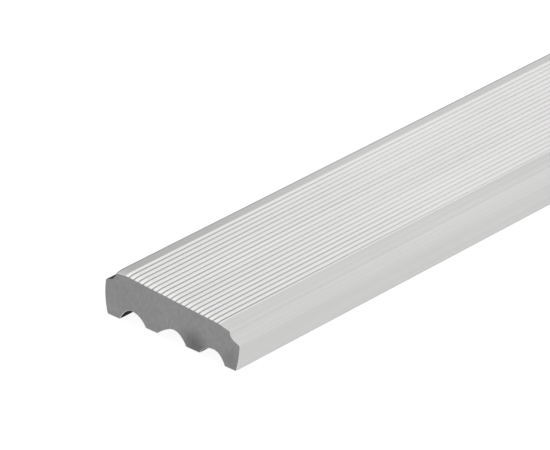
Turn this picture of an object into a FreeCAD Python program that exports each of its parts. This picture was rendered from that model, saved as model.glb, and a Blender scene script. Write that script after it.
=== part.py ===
import FreeCAD, Part
import math
import os

from FreeCAD import Vector

# Threshold strip: one solid extruded aluminium bar that lies across the foot of a doorway.
# X runs across the strip from the rear (high) side to the front (low) side.
# Y runs along the strip and Z is up, with the soles of the outer feet at Z = 0.
# All sizes are in millimetres.

# The length the bar is cut to
strip_length = 1000.0

# The ribbed tread falls gently from the rear to the front
crest_x = -19.8
crest_height = 17.0
tread_end_x = 20.6
tread_fall = 0.063

# Smooth margins run from the ribbed tread down to the two upper corners
rear_corner = (-24.05, 16.58)
front_corner = (25.05, 13.4)

# Anti-slip flutes cut the tread into ribs
flute_count = 20
flute_pitch = 2.0
first_flute_x = -18.3
flute_width = 0.56
flute_depth = 0.42
flute_floor = 0.12

# Under each upper corner a short wall drops to a shallow cove: its upper end, middle and lower end
rear_cove = [(-24.05, 15.45), (-24.95, 14.05), (-26.6, 13.15)]
front_cove = [(25.05, 12.4), (25.8, 11.25), (27.45, 10.3)]

# A sloping ledge runs from the cove out to the shoulder, and the side leans in from there to the sole
rear_shoulder = (-28.6, 12.25)
rear_side = (-28.97, 5.6)
rear_sole = (-28.05, 0.0)
front_shoulder = (29.15, 9.55)
front_side = (28.7, 5.2)
front_sole = (27.4, 0.0)

# Four feet stand between three arched bedding channels, and the inner feet stop short
# of the floor so that the strip rests on its two outer feet. A channel is three arcs that
# run into each other: the first goes through three points, and each further point ends an arc.
channels = [
    # rear lip, point on the rear flank, joint, joint, front lip
    [(-22.7, 0.0), (-21.05, 2.65), (-19.8, 3.85), (-16.75, 4.7), (-11.3, 0.95)],
    [(-6.3, 0.95), (-2.75, 3.45), (-1.15, 4.3), (3.5, 3.85), (6.1, 0.75)],
    [(11.9, 0.75), (13.35, 2.5), (18.0, 4.15), (20.65, 3.0), (22.65, 0.0)],
]

# Small die radii on the corners of the section
top_corner_radius = 0.4
rear_shoulder_radius = 1.4
front_shoulder_radius = 1.4
sole_corner_radius = 0.35
channel_lip_radius = 0.35


def at(x, z):
    """A point of the section, on the near end plane."""
    return Vector(x, -strip_length / 2, z)


def line(a, b):
    return Part.LineSegment(a, b).toShape()


def arc(a, middle, b):
    return Part.Arc(a, middle, b).toShape()


def channel_edges(points):
    """The arcs of a channel, from its front lip to its rear lip."""
    first = Part.Arc(*[at(*point) for point in points[:3]])
    edges = [first.toShape()]
    last = first.EndPoint
    heading = first.tangent(first.LastParameter)[0]
    for point in points[3:]:
        end = at(*point)
        chord = end - last
        # an arc turns by the same angle on either side of its chord
        turn = math.atan2(heading.x * chord.z - heading.z * chord.x, heading.dot(chord))
        rise = chord.Length / 2 * math.tan(turn / 2)
        outwards = Vector(chord.z, 0, -chord.x).normalize()
        edges.append(arc(last, (last + end) / 2 + outwards * rise, end))
        last = end
        heading = FreeCAD.Rotation(Vector(0, -1, 0), math.degrees(2 * turn)).multVec(heading)
    return edges[::-1]


def tread_height(x):
    return crest_height - tread_fall * (x - crest_x)


def tread_edges():
    """The rib tops and flutes, from the rear crest to the front end of the tread."""
    edges = []
    last = at(crest_x, crest_height)
    for n in range(flute_count):
        x = first_flute_x + n * flute_pitch
        half = flute_width / 2
        floor = tread_height(x) - flute_depth
        rear_lip = at(x - half, tread_height(x - half))
        rear_root = at(x - flute_floor / 2, floor)
        front_root = at(x + flute_floor / 2, floor)
        front_lip = at(x + half, tread_height(x + half))
        edges.append(line(last, rear_lip))
        edges.append(line(rear_lip, rear_root))
        edges.append(line(rear_root, front_root))
        edges.append(line(front_root, front_lip))
        last = front_lip
    edges.append(line(last, at(tread_end_x, tread_height(tread_end_x))))
    return edges


def front_edges():
    """Front margin, cove, ledge and side, from the tread down to the front sole."""
    cove = [at(*point) for point in front_cove]
    return [
        line(at(tread_end_x, tread_height(tread_end_x)), at(*front_corner)),
        line(at(*front_corner), cove[0]),
        arc(*cove),
        line(cove[2], at(*front_shoulder)),
        arc(at(*front_shoulder), at(*front_side), at(*front_sole)),
    ]


def underside_edges():
    """Soles, feet and channels, from the front sole back to the rear sole."""
    edges = []
    last = at(*front_sole)
    for channel in reversed(channels):
        edges.append(line(last, at(*channel[-1])))
        edges += channel_edges(channel)
        last = at(*channel[0])
    edges.append(line(last, at(*rear_sole)))
    return edges


def rear_edges():
    """Rear side, ledge, cove and margin, from the rear sole up to the crest."""
    cove = [at(*point) for point in reversed(rear_cove)]
    return [
        arc(at(*rear_sole), at(*rear_side), at(*rear_shoulder)),
        line(at(*rear_shoulder), cove[0]),
        arc(*cove),
        line(cove[2], at(*rear_corner)),
        line(at(*rear_corner), at(crest_x, crest_height)),
    ]


def long_edges(shape, points):
    """The edges that run the whole length of the bar through the given section points."""
    found = []
    for edge in shape.Edges:
        box = edge.BoundBox
        if box.YLength < strip_length / 2:
            continue
        if any(math.hypot(box.XMin - x, box.ZMin - z) < 0.01 for x, z in points):
            found.append(edge)
    return found


# The bar as it leaves the die and is sawn square at both ends
outline = Part.Wire(Part.__sortEdges__(tread_edges() + front_edges() + underside_edges() + rear_edges()))
bar = Part.Face(outline).extrude(Vector(0, strip_length, 0))

# Die radii on the upper corners, the shoulders, the soles and the lips of the channels
bar = bar.makeFillet(top_corner_radius, long_edges(bar, [rear_corner, front_corner]))
bar = bar.makeFillet(rear_shoulder_radius, long_edges(bar, [rear_shoulder]))
bar = bar.makeFillet(front_shoulder_radius, long_edges(bar, [front_shoulder]))
bar = bar.makeFillet(sole_corner_radius, long_edges(bar, [rear_sole, front_sole]))
lips = [channel[end] for channel in channels for end in (0, -1)]
bar = bar.makeFillet(channel_lip_radius, long_edges(bar, lips))

os.makedirs("parts", exist_ok=True)
bar.exportStep("parts/threshold_bar.step")
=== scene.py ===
import math

import bmesh
import bpy
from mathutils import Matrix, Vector


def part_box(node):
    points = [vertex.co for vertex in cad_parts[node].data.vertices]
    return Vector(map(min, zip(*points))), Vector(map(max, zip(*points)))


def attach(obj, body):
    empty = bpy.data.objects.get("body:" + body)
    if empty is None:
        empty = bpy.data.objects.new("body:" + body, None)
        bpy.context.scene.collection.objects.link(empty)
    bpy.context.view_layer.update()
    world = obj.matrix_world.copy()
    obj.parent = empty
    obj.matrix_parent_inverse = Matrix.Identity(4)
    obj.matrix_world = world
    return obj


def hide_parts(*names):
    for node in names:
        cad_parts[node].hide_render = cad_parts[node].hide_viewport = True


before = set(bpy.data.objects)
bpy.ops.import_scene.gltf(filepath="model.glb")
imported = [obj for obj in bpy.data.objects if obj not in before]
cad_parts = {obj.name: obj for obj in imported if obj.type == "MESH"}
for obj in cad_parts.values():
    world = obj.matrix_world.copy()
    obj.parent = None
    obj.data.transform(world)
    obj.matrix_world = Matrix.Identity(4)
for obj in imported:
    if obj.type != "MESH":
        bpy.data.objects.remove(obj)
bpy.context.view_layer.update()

# ---------------------------------------------------------------------------
# Tread of the threshold bar. The whole bar is one length of aluminium pressed
# through a die. Its top falls gently to the front, and twenty fine flutes
# leave the ribs that give a shoe its grip.
# ---------------------------------------------------------------------------
MM = 0.001
bar_low, bar_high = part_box("threshold_bar")

CREST_X = -19.8
CREST_HEIGHT = bar_high.z / MM
TREAD_END_X = 20.6
TREAD_FALL = 0.063
CREST_RADIUS = 0.3
FLUTES = 20
FLUTE_PITCH = 2.0
FIRST_FLUTE_X = -18.3
FLUTE_WIDTH = 0.56
FLUTE_DEPTH = 0.42
FLUTE_FLOOR = 0.12
FLUTE_ROOT_RADIUS = 0.05
RIB_LIP_RADIUS = 0.08
# how far the painted shade near each cut reaches along the bar, and how much less blue than red
# bare aluminium is
CUT_SHADE_REACH = 110.0
WARMTH = 0.992
# most of a noise lies between these two values
NOISE_LOW = 0.32
NOISE_HIGH = 0.68


def tread_height(x):
    return CREST_HEIGHT - TREAD_FALL * (x - CREST_X)


# the outline goes clockwise: x, z, radius of the corner, finish of the face after it
tread = [(CREST_X, CREST_HEIGHT, CREST_RADIUS, "rib_tops")]
for n in range(FLUTES):
    x = FIRST_FLUTE_X + n * FLUTE_PITCH
    root = tread_height(x) - FLUTE_DEPTH
    rear_lip = x - FLUTE_WIDTH / 2
    front_lip = x + FLUTE_WIDTH / 2
    tread += [
        (rear_lip, tread_height(rear_lip), RIB_LIP_RADIUS, "flutes"),
        (x - FLUTE_FLOOR / 2, root, FLUTE_ROOT_RADIUS, "flutes"),
        (x + FLUTE_FLOOR / 2, root, FLUTE_ROOT_RADIUS, "flutes"),
        (front_lip, tread_height(front_lip), RIB_LIP_RADIUS, "rib_tops"),
    ]

finishes = {}


def blank_finish(name):
    """A material with one shader, ready for its texture."""
    material = bpy.data.materials.new(name)
    material.use_nodes = True
    tree = material.node_tree
    tree.nodes.clear()
    shader = tree.nodes.new("ShaderNodeBsdfPrincipled")
    output = tree.nodes.new("ShaderNodeOutputMaterial")
    tree.links.new(shader.outputs["BSDF"], output.inputs["Surface"])
    return material, tree, shader


def grain(tree, size_mm, stretch, detail):
    """A noise whose marks are size_mm across, drawn out along X, Y and Z by stretch."""
    place = tree.nodes.new("ShaderNodeTexCoord")
    mapping = tree.nodes.new("ShaderNodeMapping")
    mapping.inputs["Scale"].default_value = [1 / s for s in stretch]
    texture = tree.nodes.new("ShaderNodeTexNoise")
    texture.inputs["Scale"].default_value = 1 / (size_mm * MM)
    texture.inputs["Detail"].default_value = detail
    tree.links.new(place.outputs["Object"], mapping.inputs["Vector"])
    tree.links.new(mapping.outputs["Vector"], texture.inputs["Vector"])
    return texture.outputs["Fac"]


def spread(tree, value, low, high):
    """The middle of a noise spread over the range low to high."""
    node = tree.nodes.new("ShaderNodeMapRange")
    node.inputs["From Min"].default_value = NOISE_LOW
    node.inputs["From Max"].default_value = NOISE_HIGH
    node.inputs["To Min"].default_value = low
    node.inputs["To Max"].default_value = high
    tree.links.new(value, node.inputs["Value"])
    return node.outputs["Result"]


def tint(tree, value, low, high):
    """The same, as a colour between two shades."""
    node = tree.nodes.new("ShaderNodeValToRGB")
    ends = node.color_ramp.elements
    ends[0].position, ends[1].position = NOISE_LOW, NOISE_HIGH
    ends[0].color, ends[1].color = (*low, 1), (*high, 1)
    tree.links.new(value, node.inputs["Fac"])
    return node.outputs["Color"]


def times(tree, first, second):
    node = tree.nodes.new("ShaderNodeMix")
    node.data_type = "RGBA"
    node.blend_type = "MULTIPLY"
    node.inputs["Factor"].default_value = 1.0
    tree.links.new(first, node.inputs["A"])
    tree.links.new(second, node.inputs["B"])
    return node.outputs["Result"]


def raise_grain(tree, shader, value, strength, height_mm):
    node = tree.nodes.new("ShaderNodeBump")
    node.inputs["Strength"].default_value = strength
    node.inputs["Distance"].default_value = height_mm * MM
    tree.links.new(value, node.inputs["Height"])
    tree.links.new(node.outputs["Normal"], shader.inputs["Normal"])


def aluminium(shade):
    """The neutral, very slightly warm grey of bare aluminium."""
    return (shade, shade, shade * WARMTH)


def shade_near_cuts(tree, strength):
    """Painted shade: a darkening factor, strongest at each cut and fading out inwards."""
    place = tree.nodes.new("ShaderNodeTexCoord")
    along = tree.nodes.new("ShaderNodeSeparateXYZ")
    from_middle = tree.nodes.new("ShaderNodeMath")
    from_middle.operation = "ABSOLUTE"
    cut_shade_ramp = tree.nodes.new("ShaderNodeMapRange")
    cut_shade_ramp.inputs["From Min"].default_value = bar_high.y - CUT_SHADE_REACH * MM
    cut_shade_ramp.inputs["From Max"].default_value = bar_high.y
    cut_shade_ramp.inputs["To Min"].default_value = 1.0
    cut_shade_ramp.inputs["To Max"].default_value = 1.0 - strength
    tree.links.new(place.outputs["Object"], along.inputs["Vector"])
    tree.links.new(along.outputs["Y"], from_middle.inputs[0])
    tree.links.new(from_middle.outputs["Value"], cut_shade_ramp.inputs["Value"])
    return cut_shade_ramp.outputs["Result"]


def die_drawn(name, shade, roughness, cut_shade=0.0, lines=0.035):
    """Mill finish: satin metal with die lines along the bar, a faint cloudiness and, where asked,
    painted shade that deepens towards each cut.
    """
    material, tree, shader = blank_finish(name)
    die_lines = grain(tree, size_mm=0.9, stretch=(1, 260, 1), detail=4.0)
    clouds = grain(tree, size_mm=14.0, stretch=(1, 5, 1), detail=2.0)
    tone = tint(tree, die_lines, aluminium(shade * (1 - lines)), aluminium(shade * (1 + lines)))
    cloud_tone = tint(tree, clouds, (0.97, 0.97, 0.97), (1.0, 1.0, 1.0))
    tone = times(tree, tone, cloud_tone)
    if cut_shade:
        tone = times(tree, tone, shade_near_cuts(tree, cut_shade))
    shader.inputs["Metallic"].default_value = 1.0
    tree.links.new(tone, shader.inputs["Base Color"])
    polish = spread(tree, die_lines, roughness + 0.05, roughness - 0.05)
    tree.links.new(polish, shader.inputs["Roughness"])
    raise_grain(tree, shader, die_lines, strength=0.25, height_mm=lines)
    return material


# painted highlight: the rib tops are painted lighter than the margins and sides, a painted sheen
# for the light the tread reflects
finishes["rib_tops"] = die_drawn("rib_tops", 0.88, 0.42)
# painted shade: the flutes are painted darker than the rib tops for the shade in the grooves, and
# darker still towards each cut
finishes["flutes"] = die_drawn("flutes", 0.75, 0.55, cut_shade=0.32)

# ---------------------------------------------------------------------------
# Front of the bar, of the same metal out of the same die. A smooth margin runs
# off the tread to a small cove, and under it the rounded shoulder and the side
# that leans in to the sole.
# ---------------------------------------------------------------------------
FRONT_CORNER = (25.05, 13.4)
# upper end, middle and lower end of the cove
FRONT_COVE = ((25.05, 12.4), (25.8, 11.25), (27.45, 10.3))
FRONT_SHOULDER = (29.15, 9.55)
FRONT_SIDE = (28.7, 5.2)
FRONT_SOLE = (27.4, 0.0)
TOP_CORNER_RADIUS = 0.4
FRONT_SHOULDER_RADIUS = 1.4
SOLE_RADIUS = 0.35
COVE_STEPS = 14
FRONT_SIDE_STEPS = 10


def arc_through(a, b, c, steps):
    """Points from a through b to c on their circle, both ends included."""
    (ax, az), (bx, bz), (cx, cz) = a, b, c
    d = 2 * (ax * (bz - cz) + bx * (cz - az) + cx * (az - bz))
    a2, b2, c2 = ax * ax + az * az, bx * bx + bz * bz, cx * cx + cz * cz
    x = (a2 * (bz - cz) + b2 * (cz - az) + c2 * (az - bz)) / d
    z = (a2 * (cx - bx) + b2 * (ax - cx) + c2 * (bx - ax)) / d
    start, middle, end = (math.atan2(p[1] - z, p[0] - x) for p in (a, b, c))
    turn = (end - start) % math.tau
    if (middle - start) % math.tau > turn:
        turn -= math.tau
    radius = math.hypot(ax - x, az - z)
    angles = [start + turn * n / steps for n in range(steps + 1)]
    return [(x + radius * math.cos(t), z + radius * math.sin(t)) for t in angles]


def smooth(points, finish):
    return [(x, z, 0, finish) for x, z in points]


front = [
    (TREAD_END_X, tread_height(TREAD_END_X), CREST_RADIUS, "front_margin"),
    (*FRONT_CORNER, TOP_CORNER_RADIUS, "front_shoulder"),
]
front += smooth(arc_through(*FRONT_COVE, COVE_STEPS), "front_shoulder")
front.append((*FRONT_SHOULDER, FRONT_SHOULDER_RADIUS, "front_side"))
front_side = arc_through(FRONT_SHOULDER, FRONT_SIDE, FRONT_SOLE, FRONT_SIDE_STEPS)
front += smooth(front_side[1:-1], "front_side")
front.append((*FRONT_SOLE, SOLE_RADIUS, "soles"))

# one metal painted in slightly different shades for how light falls on each face: the cove and
# shoulder a little lighter, a painted highlight
finishes["front_margin"] = die_drawn("front_margin", 0.66, 0.55, lines=0.02)
finishes["front_shoulder"] = die_drawn("front_shoulder", 0.68, 0.6, lines=0.02)
finishes["front_side"] = die_drawn("front_side", 0.635, 0.6, lines=0.025)

# ---------------------------------------------------------------------------
# Underside of the bar. Three arched channels key it into its bed of sealant, and
# their walls are painted near black as painted shadow. The two outer feet carry it,
# and the two inner feet stop about one millimetre short of the floor.
# ---------------------------------------------------------------------------
# a channel is three arcs: rear lip, point on the rear flank, two joints, front lip
CHANNELS = (
    ((-22.7, 0.0), (-21.05, 2.65), (-19.8, 3.85), (-16.75, 4.7), (-11.3, 0.95)),
    ((-6.3, 0.95), (-2.75, 3.45), (-1.15, 4.3), (3.5, 3.85), (6.1, 0.75)),
    ((11.9, 0.75), (13.35, 2.5), (18.0, 4.15), (20.65, 3.0), (22.65, 0.0)),
)
CHANNEL_LIP_RADIUS = 0.35
ARC_STEPS = 10


def channel_outline(points):
    """Arcs that run into each other: one through three points, one more to each further point."""
    outline = arc_through(*points[:3], ARC_STEPS)
    along = Vector(outline[-1]) - Vector(outline[-2])
    # the heading at the end of an arc is its last chord turned by half a step more
    before = Vector(outline[-2]) - Vector(outline[-3])
    heading = math.atan2(along.y, along.x)
    heading += (heading - math.atan2(before.y, before.x)) / 2
    for end in points[3:]:
        start = Vector(outline[-1])
        chord = Vector(end) - start
        turn = math.atan2(chord.y, chord.x) - heading
        rise = chord.length / 2 * math.tan(-turn / 2)
        middle = (start + Vector(end)) / 2 + Vector((-chord.y, chord.x)).normalized() * rise
        outline += arc_through(start, middle, end, ARC_STEPS)[1:]
        heading += 2 * turn
    return outline


underside = []
for points in reversed(CHANNELS):
    arch = channel_outline(points)[::-1]
    underside.append((*arch[0], CHANNEL_LIP_RADIUS, "channels"))
    underside += smooth(arch[1:-1], "channels")
    underside.append((*arch[-1], CHANNEL_LIP_RADIUS, "soles"))


def shadow_black(name, shade):
    """Painted shadow: a near-black matt finish, a little lighter in streaks along the bar."""
    material, tree, shader = blank_finish(name)
    streaks = grain(tree, size_mm=1.2, stretch=(1, 120, 1), detail=3.0)
    tone = tint(tree, streaks, (shade * 0.7,) * 3, (shade * 1.5,) * 3)
    tree.links.new(tone, shader.inputs["Base Color"])
    shader.inputs["Specular IOR Level"].default_value = 0.03
    tree.links.new(spread(tree, streaks, 0.9, 0.8), shader.inputs["Roughness"])
    raise_grain(tree, shader, streaks, strength=0.25, height_mm=0.04)
    return material


# painted shadow: the channel walls are near black for the shade inside the channels under the bar
finishes["channels"] = shadow_black("channels", 0.02)
# painted shade: the soles are painted darker than the sides for the shade under the bar
finishes["soles"] = die_drawn("soles", 0.3, 0.55)

# ---------------------------------------------------------------------------
# Rear of the bar, higher than the front, with the same cove and shoulder and a
# fuller side. The ledge and the lower half of the cove are painted near black as
# painted shade in the cove, and the upper corner is painted darker than the
# margin beside it as painted shade along the edge.
# ---------------------------------------------------------------------------
REAR_CORNER = (-24.05, 16.58)
REAR_COVE = ((-24.05, 15.45), (-24.95, 14.05), (-26.6, 13.15))
REAR_SHOULDER = (-28.6, 12.25)
REAR_SIDE = (-28.97, 5.6)
REAR_SOLE = (-28.05, 0.0)
REAR_SHOULDER_RADIUS = 1.4
REAR_SIDE_STEPS = 12
SHADED_EDGE_WIDTH = 0.8

rear = [(*REAR_SOLE, SOLE_RADIUS, "rear_side")]
rear_side = arc_through(REAR_SOLE, REAR_SIDE, REAR_SHOULDER, REAR_SIDE_STEPS)
rear += smooth(rear_side[1:-1], "rear_side")
rear.append((*REAR_SHOULDER, REAR_SHOULDER_RADIUS, "rear_cove"))
cove = arc_through(*REAR_COVE, COVE_STEPS)[::-1]
rear += smooth(cove[:COVE_STEPS // 2], "rear_cove")
rear += smooth(cove[COVE_STEPS // 2:], "rear_side")
rear.append((*REAR_CORNER, TOP_CORNER_RADIUS, "rear_edge"))
# the margin rises from the corner to the crest, and the painted dark edge ends on that line
corner, crest = Vector(REAR_CORNER), Vector((CREST_X, CREST_HEIGHT))
shaded_edge_end = corner.lerp(crest, SHADED_EDGE_WIDTH / (CREST_X - REAR_CORNER[0]))
rear.append((*shaded_edge_end, 0, "rear_margin"))

finishes["rear_side"] = die_drawn("rear_side", 0.60, 0.55)
# painted shade: the ledge and lower cove are near black for the shade in the cove
finishes["rear_cove"] = shadow_black("rear_cove", 0.05)
# painted shade: a darker strip along the rear top corner, also darker towards each cut
finishes["rear_edge"] = die_drawn("rear_edge", 0.5, 0.5, cut_shade=0.2)
# painted shade: the rear margin is painted darker towards each cut
finishes["rear_margin"] = die_drawn("rear_margin", 0.78, 0.5, cut_shade=0.28)

# ---------------------------------------------------------------------------
# The bar cut to length. It is sawn square across, which leaves a matt, finely
# scored face, painted darker than the rest of the bar as painted shade, and drags the
# tread down a hair at the cut. A file stroke round the outline then breaks the
# sharp edge and leaves it bright.
# ---------------------------------------------------------------------------
FILED_EDGE = 0.12
FILE_ANGLES = (0, 30, 60, 90)
DRAG_LENGTH = 3.6
DRAG_RINGS = (0.5, 1.0, 1.6, 2.2, 2.9, DRAG_LENGTH)
REAR_DRAG = 0.4
FRONT_DRAG = 0.2
CORNER_STEPS = 6
# a rounding takes up at most this share of the edge on either side of its corner
ROUNDING_SHARE = 0.45
# keeps a sharp corner from moving too far
NARROWEST_CORNER = 0.2
SMALLEST_RADIUS = 0.01
# edges that turn by more than this stay crisp
CRISP_ANGLE = math.radians(34)

outline = tread + front + underside + rear


def inset_corners(inset):
    """Every corner of the outline moved in by inset, square to the faces it joins."""
    points = [Vector(corner[:2]) for corner in outline]
    moved = []
    for n, here in enumerate(points):
        before = (here - points[n - 1]).normalized()
        after = (points[(n + 1) % len(points)] - here).normalized()
        inwards = Vector((before.y + after.y, -before.x - after.x))
        moved.append(here + inwards * inset / max(NARROWEST_CORNER, 1 + before.dot(after)))
    return points, moved


def rounded_outline(inset):
    """The outline drawn in by inset, with its corners rounded: (point, finish after it)."""
    points, moved = inset_corners(inset)
    count = len(points)
    rounded = []
    for n, here in enumerate(moved):
        radius, finish = outline[n][2:]
        finish_before = outline[n - 1][3]
        if not radius:
            rounded.append((here, finish))
            continue
        before = points[n] - points[n - 1]
        after = points[(n + 1) % count] - points[n]
        outside = before.x * after.y - before.y * after.x < 0
        radius = max(SMALLEST_RADIUS, radius - inset if outside else radius + inset)
        back, ahead = moved[n - 1] - here, moved[(n + 1) % count] - here
        run = radius / math.tan(back.angle(ahead) / 2)
        run = min(run, back.length * ROUNDING_SHARE, ahead.length * ROUNDING_SHARE)
        first, last = here + back.normalized() * run, here + ahead.normalized() * run
        for step in range(CORNER_STEPS + 1):
            t = step / CORNER_STEPS
            point = first * (1 - t) ** 2 + here * 2 * t * (1 - t) + last * t**2
            rounded.append((point, finish_before if t < 0.5 else finish))
    return rounded


def dragged(point, along):
    """The height of an outline point where the saw has pulled the top of the bar down."""
    across = (point.x - REAR_CORNER[0]) / (FRONT_CORNER[0] - REAR_CORNER[0])
    across = min(max(across, 0), 1)
    ledge = REAR_COVE[2][1] + (FRONT_COVE[2][1] - REAR_COVE[2][1]) * across
    share = min(max((point.y - ledge) / (REAR_CORNER[1] - REAR_COVE[2][1]), 0), 1)
    fade = max(0, 1 - along / DRAG_LENGTH) ** 2
    return point.y - (REAR_DRAG + (FRONT_DRAG - REAR_DRAG) * across) * share * fade


turns = [math.radians(angle) for angle in FILE_ANGLES]
cuts = [(FILED_EDGE * (1 - math.cos(t)), FILED_EDGE * (1 - math.sin(t))) for t in turns]
cuts += [(along, 0) for along in DRAG_RINGS]
stations = [(bar_low.y, along, along, inset) for along, inset in cuts]
stations += [(bar_high.y, -along, along, inset) for along, inset in reversed(cuts)]

bar_mesh = bpy.data.meshes.new("threshold_bar_detail")
work = bmesh.new()
rings = []
for end_y, shift, along, inset in stations:
    ring = rounded_outline(inset)
    y = end_y + shift * MM
    rings.append([work.verts.new((p.x * MM, y, dragged(p, along) * MM)) for p, _ in ring])

names = list(finishes) + ["filed_edge", "sawn_end"]
filed = range(len(FILE_ANGLES) - 1)
for band, (near, far) in enumerate(zip(rings, rings[1:])):
    at_cut = band in filed or len(rings) - 2 - band in filed
    for n, (_, finish) in enumerate(ring):
        m = (n + 1) % len(ring)
        face = work.faces.new((near[n], near[m], far[m], far[n]))
        if at_cut and finish != "rear_cove":
            finish = "sawn_end" if finish == "flutes" else "filed_edge"
        face.material_index = names.index(finish)
        face.smooth = True
for end in (rings[0], rings[-1]):
    work.faces.new(end).material_index = names.index("sawn_end")
bmesh.ops.recalc_face_normals(work, faces=work.faces)
work.to_mesh(bar_mesh)
work.free()
bar_mesh.set_sharp_from_angle(angle=CRISP_ANGLE)
bar = bpy.data.objects.new("threshold_bar_extruded", bar_mesh)
bpy.context.scene.collection.objects.link(bar)

# darker round patches on the sawn face: across the bar, height, radius and how much of the tone is
# left in the middle
DARK_PATCHES = ((9.8, 2.6, 8.0, 0.56), (25.6, 3.2, 6.0, 0.82))


def sawn_face(name, shade, roughness):
    """The cut metal: matt, with fine upright scores, broad clouds and two darker round patches, all
    painted dark as painted shade.
    """
    material, tree, shader = blank_finish(name)
    scores = grain(tree, size_mm=0.8, stretch=(1, 1, 2.5), detail=4.0)
    clouds = grain(tree, size_mm=9.0, stretch=(1, 1, 1), detail=2.0)
    tone = tint(tree, scores, (shade * 0.965,) * 3, (shade * 1.035,) * 3)
    cloud_tone = tint(tree, clouds, (0.94, 0.94, 0.94), (1.0, 1.0, 1.0))
    tone = times(tree, tone, cloud_tone)
    place = tree.nodes.new("ShaderNodeTexCoord")
    for x, z, radius, left in DARK_PATCHES:
        distance = tree.nodes.new("ShaderNodeVectorMath")
        distance.operation = "DISTANCE"
        distance.inputs[1].default_value = (x * MM, bar_low.y, z * MM)
        tree.links.new(place.outputs["Object"], distance.inputs[0])
        patch = tree.nodes.new("ShaderNodeMapRange")
        patch.interpolation_type = "SMOOTHSTEP"
        patch.inputs["From Max"].default_value = radius * MM
        patch.inputs["To Min"].default_value = left
        patch.inputs["To Max"].default_value = 1.0
        tree.links.new(distance.outputs["Value"], patch.inputs["Value"])
        tone = times(tree, tone, patch.outputs["Result"])
    tree.links.new(tone, shader.inputs["Base Color"])
    shader.inputs["Metallic"].default_value = 1.0
    rough = spread(tree, scores, roughness + 0.06, roughness - 0.06)
    tree.links.new(rough, shader.inputs["Roughness"])
    raise_grain(tree, shader, scores, strength=0.3, height_mm=0.06)
    return material


finishes["filed_edge"] = die_drawn("filed_edge", 0.66, 0.4)
# painted shade: the sawn face is painted much darker than the sides
finishes["sawn_end"] = sawn_face("sawn_end", 0.292, 0.6)
for name in names:
    bar_mesh.materials.append(finishes[name])
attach(bar, "root")
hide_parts("threshold_bar")

# ---------------------------------------------------------------------------
# Studio floor: a plain white sheet, much wider than the bar, that is mostly lit
# from within, so that it stays white right up to the metal.
# ---------------------------------------------------------------------------
FLOOR_SIZE = 200.0
FLOOR_GAP = 0.1 * MM
FLOOR_SHADE = 0.12
FLOOR_GLOW = 0.93

floor_mesh = bpy.data.meshes.new("studio_floor")
work = bmesh.new()
bmesh.ops.create_grid(work, x_segments=1, y_segments=1, size=FLOOR_SIZE / 2)
work.to_mesh(floor_mesh)
work.free()
floor = bpy.data.objects.new("studio_floor", floor_mesh)
floor.location.z = -FLOOR_GAP
bpy.context.scene.collection.objects.link(floor)
white, _, shader = blank_finish("studio_white")
shader.inputs["Base Color"].default_value = (FLOOR_SHADE, FLOOR_SHADE, FLOOR_SHADE, 1)
shader.inputs["Roughness"].default_value = 0.9
shader.inputs["Specular IOR Level"].default_value = 0.0
shader.inputs["Emission Color"].default_value = (1, 1, 1, 1)
shader.inputs["Emission Strength"].default_value = FLOOR_GLOW
floor_mesh.materials.append(white)

# ---------------------------------------------------------------------------
# Studio light: a bright, even tent all round, with one dark card low behind
# the rear left, which the rear margin reflects.
# ---------------------------------------------------------------------------
TENT = 1.05
CARD = 0.1
CARD_TOWARDS = Vector((-0.66, 0.73, 0.12))
CARD_DARK_ANGLE = 6
CARD_EDGE_ANGLE = 26

tent = bpy.data.worlds.new("studio_tent")
tent.use_nodes = True
nodes, links = tent.node_tree.nodes, tent.node_tree.links
direction = nodes.new("ShaderNodeTexCoord")
facing = nodes.new("ShaderNodeVectorMath")
facing.operation = "DOT_PRODUCT"
facing.inputs[1].default_value = CARD_TOWARDS.normalized()
links.new(direction.outputs["Generated"], facing.inputs[0])
card = nodes.new("ShaderNodeMapRange")
card.interpolation_type = "SMOOTHSTEP"
card.inputs["From Min"].default_value = math.cos(math.radians(CARD_DARK_ANGLE))
card.inputs["From Max"].default_value = math.cos(math.radians(CARD_EDGE_ANGLE))
card.inputs["To Min"].default_value = CARD
card.inputs["To Max"].default_value = TENT
links.new(facing.outputs["Value"], card.inputs["Value"])
path = nodes.new("ShaderNodeLightPath")
seen = nodes.new("ShaderNodeMix")
seen.data_type = "FLOAT"
seen.inputs["B"].default_value = TENT
links.new(path.outputs["Is Camera Ray"], seen.inputs["Factor"])
links.new(card.outputs["Result"], seen.inputs["A"])
links.new(seen.outputs["Result"], nodes["Background"].inputs["Strength"])
nodes["Background"].inputs["Color"].default_value = (1, 1, 1, 1)
bpy.context.scene.world = tent

# ---------------------------------------------------------------------------
# Camera: a long lens that looks down on the near sawn end from the front, with
# the bar running away to the right.
# ---------------------------------------------------------------------------
CAMERA_AZIMUTH = math.radians(42.48)
CAMERA_ELEVATION = math.radians(27.78)
CAMERA_DISTANCE = 1.7575
CAMERA_RIGHT = 0.03271
CAMERA_UP = 0.03674
LENS = 366.5
SENSOR_WIDTH = 36.0
# the camera's distances are taken from this point on the floor, at the near cut
AIM_X = -0.475

aim = Vector((AIM_X * MM, bar_low.y, 0))
right = Vector((math.cos(CAMERA_AZIMUTH), math.sin(CAMERA_AZIMUTH), 0))
level = math.cos(CAMERA_ELEVATION)
back = Vector((right.y * level, -right.x * level, math.sin(CAMERA_ELEVATION)))
up = back.cross(right)
camera_data = bpy.data.cameras.new("studio_camera")
camera_data.sensor_width = SENSOR_WIDTH
camera_data.lens = LENS
camera_data.clip_start = 0.05
camera_data.clip_end = 500.0
camera = bpy.data.objects.new("studio_camera", camera_data)
camera.rotation_mode = "QUATERNION"
camera.rotation_quaternion = back.to_track_quat("Z", "Y")
camera.location = aim + back * CAMERA_DISTANCE + right * CAMERA_RIGHT + up * CAMERA_UP
bpy.context.scene.collection.objects.link(camera)
bpy.context.scene.camera = camera
bpy.context.scene.view_settings.view_transform = "Standard"
